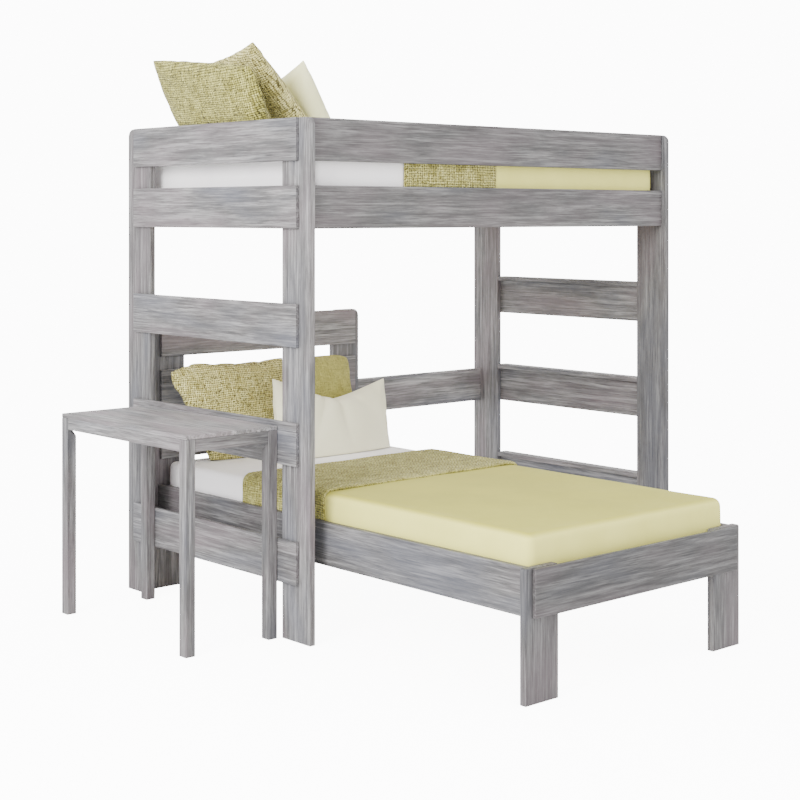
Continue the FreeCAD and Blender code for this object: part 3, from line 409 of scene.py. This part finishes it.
EDGE = 0.022  # radius of a mattress's edges
STEP = 0.011  # mesh spacing on a mattress
SWELL = 0.006  # how far a mattress's long sides stand proud of its CAD block
CROWN = 0.004
RIPPLE = 0.0015
COVER_THICK = 0.003
COVER_GAP = 0.0015
COVER_TUCK = 0.06  # length of a cover that lies under the throw
COVER_HEM_DROP = 0.01
THROW_THICK = 0.008
THROW_CLEAR = 0.007
THROW_STEP = 0.0035
LOFT_PITCH = 0.0095
FINE_PITCH = 0.0085
OLIVE_PITCH = 0.006


def swollen(node, axis):
    """A mattress's box, let out a little sideways. axis is its length."""
    low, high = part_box(node)
    out = Vector((0, 0, 0))
    out[1 - axis] = SWELL
    return low - out, high + out


def mattress(node, body, axis, seed):
    low, high = swollen(node, axis)
    cloud, faces = rounded_block(low, high, EDGE, STEP, CROWN, RIPPLE, seed)
    item = make_object(node + "_soft", cloud, faces)
    item.data.materials.append(SHEET_WHITE)
    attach(item, body)
    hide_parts(node)
    return item


def cover(node, mattress_node, body, axis, head_high, throw_node, seed):
    """A smooth fitted cover over the foot of a mattress; its head edge lies under the throw."""
    low, high = swollen(mattress_node, axis)
    # The first two colours, for the top, are darker than the two for the sides: painted shade on the top,
    # painted light on the sides.
    cloth = top_shaded_cloth(node + "_cotton", high[2] + COVER_GAP + COVER_THICK,
                        srgb(177, 172, 62), srgb(169, 164, 56), srgb(221, 216, 122), srgb(213, 208, 114))
    cover_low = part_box(node)[0]
    throw_low, throw_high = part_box(throw_node)
    grow = Vector((COVER_GAP, COVER_GAP, COVER_GAP))
    outer_low, outer_high = low - grow, high + grow
    start = throw_low[axis] + COVER_TUCK if head_high else throw_high[axis] - COVER_TUCK
    hem = cover_low[2] - COVER_HEM_DROP

    def keep(c):
        inside = c[axis] < start if head_high else c[axis] > start
        return inside and c[2] > hem

    cloud, faces = rounded_block(outer_low, outer_high, EDGE + COVER_GAP, STEP * 0.7, CROWN, RIPPLE,
                                 seed, keep)
    item = make_object(node + "_cloth", cloud, faces)
    solid = item.modifiers.new("thickness", "SOLIDIFY")
    solid.thickness = COVER_THICK
    solid.offset = 1.0
    apply_modifiers(item)
    item.data.materials.append(cloth)
    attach(item, body)
    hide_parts(node)
    return item


def throw(node, mattress_node, body, axis, material, seed):
    """A thick woven strip laid across a mattress, hanging down both sides. axis is the mattress's length."""
    low, high = swollen(mattress_node, axis)
    strip_low, strip_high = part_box(node)
    across = 1 - axis
    half = (high[across] - low[across]) / 2 + THROW_CLEAR
    middle = (high[across] + low[across]) / 2
    top = high[2] + THROW_CLEAR + 0.002
    hem = strip_low[2]
    radius = EDGE + THROW_CLEAR
    start, stop = strip_low[axis], strip_high[axis]
    arc = radius * math.pi / 2
    side = top - radius - hem
    flat = 2 * (half - radius)
    total = 2 * side + 2 * arc + flat
    rows = int(round(total / THROW_STEP))
    columns = int(round((stop - start) / THROW_STEP))
    points = []
    for r in range(rows + 1):
        s = total * r / rows
        if s < side:
            across_at, z, nx, nz = -half, hem + s, -1.0, 0.0
        elif s < side + arc:
            angle = (s - side) / radius
            across_at = -half + radius - radius * math.cos(angle)
            z = top - radius + radius * math.sin(angle)
            nx, nz = -math.cos(angle), math.sin(angle)
        elif s < side + arc + flat:
            across_at, z, nx, nz = -half + radius + (s - side - arc), top, 0.0, 1.0
        elif s < side + 2 * arc + flat:
            angle = (s - side - arc - flat) / radius
            across_at = half - radius + radius * math.sin(angle)
            z = top - radius + radius * math.cos(angle)
            nx, nz = math.sin(angle), math.cos(angle)
        else:
            across_at, z, nx, nz = half, top - radius - (s - side - 2 * arc - flat), 1.0, 0.0
        for c in range(columns + 1):
            a = start + (stop - start) * c / columns
            edge = 0.003 * noise.noise(Vector((s * 7, seed, a * 2)))
            a_here = a + edge * (1 if c > columns / 2 else -1) * abs(2 * c / columns - 1)
            t = abs(across_at) - z
            knit = 0.0009 * math.sin(math.pi * a / LOFT_PITCH) * math.sin(math.pi * t / LOFT_PITCH)
            slack = 0.0022 * noise.noise(Vector((a * 6, s * 6, seed))) + 0.0012
            border = min(c, columns - c) * THROW_STEP
            droop = -0.0035 * max(0.0, 1 - border / 0.012) ** 2
            offset = knit + slack + droop
            spot = [0.0, 0.0, z + nz * offset]
            spot[axis] = a_here
            spot[across] = middle + across_at + nx * offset
            points.append(spot)
    faces = []
    wide = columns + 1
    for r in range(rows):
        for c in range(columns):
            corners = [r * wide + c, r * wide + c + 1, (r + 1) * wide + c + 1, (r + 1) * wide + c]
            faces.append(corners if axis == 1 else corners[::-1])
    item = make_object(node + "_cloth", points, faces)
    solid = item.modifiers.new("thickness", "SOLIDIFY")
    solid.thickness = THROW_THICK
    solid.offset = -1.0
    apply_modifiers(item)
    item.data.materials.append(material)
    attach(item, body)
    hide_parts(node)
    return item


loft_low, loft_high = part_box("loft_mattress")
bed_low, bed_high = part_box("bed_mattress")
loft_middle = (loft_low[1] + loft_high[1]) / 2
bed_middle = (bed_low[0] + bed_high[0]) / 2
# The last colour of each weave is its gap_shade, painted shade for the hollows between the yarns.
WEAVE = (srgb(218, 212, 138), srgb(178, 171, 94), srgb(132, 125, 56), srgb(54, 49, 14))
LOFT_WEAVE = weave_cloth(
    "loft_throw_weave", lambda s, x, y, z: x,
    lambda s, x, y, z: s.math("SUBTRACT", s.math("ABSOLUTE", s.math("SUBTRACT", y, loft_middle)), z),
    LOFT_PITCH, *WEAVE)
BED_WEAVE = weave_cloth(
    "bed_throw_weave", lambda s, x, y, z: y,
    lambda s, x, y, z: s.math("SUBTRACT", s.math("ABSOLUTE", s.math("SUBTRACT", x, bed_middle)), z),
    FINE_PITCH, srgb(210, 204, 128), srgb(174, 168, 92), srgb(136, 130, 58), srgb(66, 61, 18), 0.75, 0.55)

mattress("loft_mattress", "loft", 0, 1.3)
mattress("bed_mattress", "lower_bed", 1, 7.7)
cover("loft_cover", "loft_mattress", "loft", 0, False, "loft_throw", 2.9)
cover("bed_cover", "bed_mattress", "lower_bed", 1, True, "bed_throw", 4.1)
throw("loft_throw", "loft_mattress", "loft", 0, LOFT_WEAVE, 3.3)
throw("bed_throw", "bed_mattress", "lower_bed", 1, BED_WEAVE, 8.1)


# ---------------------------------------------------------------- pillows
# A darker copy of the pillow weave for the outer loft pillow, whose face turns to the key light: painted
# shade.
SHADED_PILLOW_WEAVE = weave_cloth("pillow_weave_painted_shade", lambda s, x, y, z: x, lambda s, x, y, z: y, FINE_PITCH,
                          srgb(196, 191, 112), srgb(160, 155, 78), srgb(116, 110, 44), srgb(36, 32, 6))
PILLOW_WEAVE = weave_cloth("pillow_weave", lambda s, x, y, z: x, lambda s, x, y, z: y, FINE_PITCH,
                           srgb(240, 232, 160), srgb(210, 201, 126), srgb(164, 154, 84), srgb(64, 57, 20))
PILLOW_GREEN = smooth_cloth("pillow_green_cotton",
                            srgb(247, 245, 196), srgb(238, 236, 182), srgb(248, 246, 204))
PILLOW_OLIVE = weave_cloth("pillow_olive_weave", lambda s, x, y, z: x, lambda s, x, y, z: y, OLIVE_PITCH,
                           srgb(196, 191, 108), srgb(178, 173, 94), srgb(160, 154, 78),
                           srgb(112, 106, 44), 0.6)
PILLOW_CREAM = smooth_cloth("pillow_cream_cotton",
                            srgb(238, 235, 206), srgb(228, 225, 194), srgb(240, 235, 212))


# A pillow's outline before it is shaped. corners moves the bottom left, bottom right, top left and top right.
PLAIN = {"corners": ((0, 0), (0, 0), (0, 0), (0, 0)), "sag": 0.0, "peak": 2.0, "belly": 0.02, "cuts": {},
         "wave": 0.0}


def outline_point(a, b, width, height, shape):
    """Where a spot of a pillow (a and b run from -1 to 1) lies in its own plane."""
    x, y = a * width / 2, b * height / 2
    up = (b + 1) / 2
    right = (a + 1) / 2
    shares = ((1 - right) * (1 - up), right * (1 - up), (1 - right) * up, right * up)
    x += sum(share * dx for share, (dx, _) in zip(shares, shape["corners"]))
    y += sum(share * dy for share, (_, dy) in zip(shares, shape["corners"]))
    y -= shape["sag"] * (1 - abs(a) ** shape["peak"]) * up ** 1.5
    y -= shape["belly"] * (1 - a * a) * (1 - up) ** 1.5
    x += shape["wave"] * abs(a) ** 4 * math.sin(8.5 * up + 1.5 * a)
    for side, (wide, tall) in shape["cuts"].items():
        p, q = (width / 2 - side * x) / wide, (height / 2 - y) / tall
        if 0 <= p + q < 2:
            push = (1 - (p + q) / 2) / 2
            x -= side * push * wide
            y -= push * tall
    return x, y


def pillow_shape(name, width, height, shape, seed, cell=0.012):
    """A sewn pillow before filling: two layers joined all round."""
    nx, ny = int(round(width / cell)), int(round(height / cell))
    points, index = [], {}
    for layer in (1, -1):
        for j in range(ny + 1):
            for i in range(nx + 1):
                rim = i in (0, nx) or j in (0, ny)
                if rim and layer < 0:
                    index[layer, i, j] = index[1, i, j]
                    continue
                a, b = 2 * i / nx - 1, 2 * j / ny - 1
                dome = 0.012 * (1 - a * a) * (1 - b * b)
                jitter = 0.002 * noise.noise(Vector((a * 3 + seed, b * 3, layer)))
                x, y = outline_point(a, b, width, height, shape)
                index[layer, i, j] = len(points)
                points.append((x, y, layer * (dome + 0.001) * (not rim) + jitter))
    faces = []
    for layer in (1, -1):
        for j in range(ny):
            for i in range(nx):
                quad = [index[layer, i, j], index[layer, i + 1, j], index[layer, i + 1, j + 1],
                        index[layer, i, j + 1]]
                faces.append(quad if layer > 0 else quad[::-1])
    return make_object(name, points, faces)


def depth_of(points):
    return points[:, 2].max() - points[:, 2].min()


def mesh_points(mesh):
    return np.array([v.co for v in mesh.vertices], float).reshape(-1, 3)


FILL_PRESSURE = 4.0
FILL_FRAMES = 40


def fill(item, thick):
    """Inflates a sewn pillow with a cloth simulation until it is as thick as asked, and keeps that shape."""
    cloth = item.modifiers.new("fill", "CLOTH")
    settings = cloth.settings
    settings.quality = 6
    settings.mass = 0.3
    settings.tension_stiffness = 25
    settings.compression_stiffness = 25
    settings.shear_stiffness = 12
    settings.bending_stiffness = 0.8
    settings.air_damping = 2.0
    settings.use_pressure = True
    settings.uniform_pressure_force = FILL_PRESSURE
    settings.effector_weights.gravity = 0
    cloth.collision_settings.use_collision = False
    cloth.point_cache.frame_start = 1
    cloth.point_cache.frame_end = FILL_FRAMES
    for step in range(1, FILL_FRAMES + 1):
        bpy.context.scene.frame_set(step)
        now = item.evaluated_get(bpy.context.evaluated_depsgraph_get()).data
        if depth_of(mesh_points(now)) >= thick:
            break
    apply_modifiers(item)
    bpy.context.scene.frame_set(1)


def crease(points, width, height, seed, folds, strength, chop):
    """Folds that run in from the corners, dents between them, and a fan of folds under a chopped top edge."""
    half = np.array([width / 2, height / 2])
    out = points.copy()
    for n, (x, y, z) in enumerate(points):
        side = 1.0 if z >= 0 else -1.0
        edge = min(half[0] - abs(x), half[1] - abs(y))
        fade = min(1.0, max(0.0, edge / 0.03))
        total = 0.0
        for cx in (-1, 1):
            for cy in (-1, 1):
                dx, dy = (cx * half[0] - x) * cx, (cy * half[1] - y) * cy
                reach = math.hypot(dx, dy)
                angle = math.atan2(dy, dx)
                wave = math.sin(angle * folds + seed * (cx + 2 * cy + 4) + 3.0 * reach / height)
                total += wave * math.exp(-reach / 0.11) * min(1.0, reach / 0.04)
        soft = noise.noise(Vector((x * 7 + seed, y * 7, side)))
        below = half[1] - y
        spread = math.atan2(x, below + 0.02)
        fan = (abs(math.sin(4.5 * spread + seed)) ** 0.6 - 0.65) * math.exp(-below / 0.15 - (x / 0.15) ** 2)
        room = min(1.0, abs(z) / 0.03)  # keeps the fan shallow where the pillow is thin
        out[n, 2] += side * (fade * strength * (total + 0.7 * soft) + room * chop * fan)
    return out


def pillow(node, body, size, base, yaw, lean, material, slot, seed, rest, folds=(9, 0.004, 0.0), **shape):
    """size is width, height and thickness; base is the middle of the bottom edge; lean tips it back."""
    width, height, thick = size
    item = pillow_shape(node + "_soft", width, height, {**PLAIN, **shape}, seed)
    flat = mesh_points(item.data)
    fill(item, thick)
    points = mesh_points(item.data)
    for k in (0, 1):
        shrink = np.ptp(flat[:, k]) / np.ptp(points[:, k])
        points[:, k] = (points[:, k] - points[:, k].mean()) * shrink
        points[:, k] += flat[:, k].min() - points[:, k].min()
    points[:, 2] *= thick / depth_of(points)
    points = crease(points, width, height, seed, *folds)
    points[:, 1] += height / 2
    turn = (Matrix.Rotation(math.radians(yaw), 4, "Z") @ Matrix.Rotation(math.radians(90 - lean), 4, "X"))
    item.matrix_world = Matrix.Translation(Vector(base)) @ turn
    axes = np.array(turn.to_3x3())
    world = points @ axes.T + np.array(base)
    world[:, 2] = np.maximum(world[:, 2], rest + 0.0015 * (world[:, 2] < rest))
    points = (world - np.array(base)) @ axes
    item.data.vertices.foreach_set("co", points.ravel())
    fine = item.modifiers.new("fine", "SUBSURF")
    fine.levels = 1
    fine.render_levels = 1
    apply_modifiers(item)
    item.data.polygons.foreach_set("use_smooth", [True] * len(item.data.polygons))
    item.data.materials.append(material)
    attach(item, body)
    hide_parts(node)
    return item


loft_top = loft_high[2] + CROWN
bed_top = bed_high[2] + CROWN
sink = 0.018  # depth that is flattened where a pillow rests
left_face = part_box("left_guard_rail")[1][0]
front_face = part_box("loft_post_front_left")[0][1]
pillow("loft_pillow_outer", "loft", (0.600, 0.410, 0.115),
       (left_face + 0.137, front_face + 0.583, loft_top - sink), 90, 25, SHADED_PILLOW_WEAVE, "woven_pillow", 1.7,
       loft_top, (9, 0.008, 0.0), corners=((0, 0), (0, 0), (0.015, -0.03), (0, 0.035)),
       sag=-0.02, wave=0.010)
pillow("loft_pillow_middle", "loft", (0.53, 0.575, 0.105),
       (left_face + 0.456, front_face + 0.627, loft_top - sink), 90, 43.7, PILLOW_WEAVE, "woven_pillow", 5.2,
       loft_top, (9, 0.008, 0.0), corners=((0, 0), (0, 0), (0, 0.034), (0, -0.045)), sag=0.004, peak=1.6)
pillow("loft_pillow_inner", "loft", (0.56, 0.435, 0.125),
       (left_face + 0.522, front_face + 0.65, loft_top - sink), 90, 30.6, PILLOW_GREEN, "smooth_pillow", 9.4,
       loft_top, (9, 0.004, 0.012), corners=((0, 0), (0, 0), (0, 0.02), (0, 0.02)), sag=0.06, peak=1.3)

bed_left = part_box("bed_head_post_left")[0][0]
rail_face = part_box("bed_head_rail_middle")[0][1]
pillow("bed_pillow_left", "lower_bed", (0.625, 0.398, 0.11),
       (bed_left + 0.3095, rail_face - 0.122, bed_top - sink), 0, 10, PILLOW_WEAVE, "woven_pillow", 3.1,
       bed_top, (9, 0.006, 0.0), corners=((0.19, 0), (0, 0), (0, 0), (0, 0)), sag=-0.016,
       cuts={-1: (0.065, 0.055)})
pillow("bed_pillow_right", "lower_bed", (0.385, 0.395, 0.11),
       (bed_left + 0.8025, rail_face - 0.122, bed_top - sink), 0, 10, PILLOW_OLIVE, "smooth_pillow", 6.6,
       bed_top, corners=((0, 0), (0.015, 0), (0, 0), (-0.005, 0)), sag=-0.012, cuts={1: (0.028, 0.016)})
pillow("bed_pillow_front", "lower_bed", (0.62, 0.315, 0.14),
       (bed_left + 0.688, rail_face - 0.30, bed_top - sink), 0, 12, PILLOW_CREAM, "cream_pillow", 2.2,
       bed_top, (9, 0.004, 0.045), corners=((-0.03, 0), (0.012, 0), (0.03, 0.04), (0.034, 0)),
       sag=0.035, peak=1.4, belly=0.03)


# ---------------------------------------------------------------- floor, light and camera
# The floor and the surroundings look near white when seen directly, without lighting the object more.
FLOOR_HALF = 14.0
FLOOR_GLOW_SEEN = 10.0
WORLD_LIGHT = 2.25
WORLD_SEEN = 12.0
AIM = (0, 0, 0.9)


def stage_floor():
    half = FLOOR_HALF
    points = [(-half, -half, 0), (half, -half, 0), (half, half, 0), (-half, half, 0)]
    item = make_object("floor", points, [[0, 1, 2, 3]], smooth=False)
    s = Shader("studio_floor")
    s.finish((0.86, 0.86, 0.86, 1), 0.9, Specular_IOR_Level=0.05)
    emission = s.nodes.new("ShaderNodeEmission")
    emission.inputs["Color"].default_value = (1, 1, 1, 1)
    ray = s.nodes.new("ShaderNodeLightPath")
    glow = s.math("MULTIPLY", ray.outputs["Is Camera Ray"], FLOOR_GLOW_SEEN)
    s.links.new(glow, emission.inputs["Strength"])
    both = s.nodes.new("ShaderNodeAddShader")
    s.links.new(s.bsdf.outputs[0], both.inputs[0])
    s.links.new(emission.outputs[0], both.inputs[1])
    s.links.new(both.outputs[0], s.nodes["Material Output"].inputs["Surface"])
    item.data.materials.append(s.material)
    return item


def studio_world():
    world = bpy.data.worlds.new("studio")
    bpy.context.scene.world = world
    world.use_nodes = True
    nodes, links = world.node_tree.nodes, world.node_tree.links
    background = nodes["Background"]
    background.inputs["Color"].default_value = (1, 1, 1, 1)
    ray = nodes.new("ShaderNodeLightPath")
    strength = nodes.new("ShaderNodeMapRange")
    strength.inputs["To Min"].default_value = WORLD_LIGHT
    strength.inputs["To Max"].default_value = WORLD_SEEN
    links.new(ray.outputs["Is Camera Ray"], strength.inputs["Value"])
    links.new(strength.outputs["Result"], background.inputs["Strength"])


def area_light(name, place, aim, size, power):
    data = bpy.data.lights.new(name, "AREA")
    data.shape = "DISK"
    data.size = size
    data.energy = power
    item = bpy.data.objects.new(name, data)
    bpy.context.scene.collection.objects.link(item)
    item.location = place
    item.rotation_euler = (Vector(aim) - Vector(place)).to_track_quat("-Z", "Y").to_euler()
    return item


stage_floor()
studio_world()
area_light("key", (-6.5, -1.5, 3.4), AIM, 3.0, 650)
area_light("fill", (-1.0, -6.5, 3.0), AIM, 4.0, 25)

camera_data = bpy.data.cameras.new("camera")
camera = bpy.data.objects.new("camera", camera_data)
bpy.context.scene.collection.objects.link(camera)
camera.location = (-4.3906, -4.2349, 1.5001)
camera.rotation_euler = (math.radians(90), 0, math.radians(-39.5))
camera_data.sensor_width = 36  # millimetres, as is the lens
camera_data.lens = 70.96
camera_data.shift_x = 0.154
camera_data.shift_y = -0.232
camera_data.clip_end = 100
bpy.context.scene.camera = camera
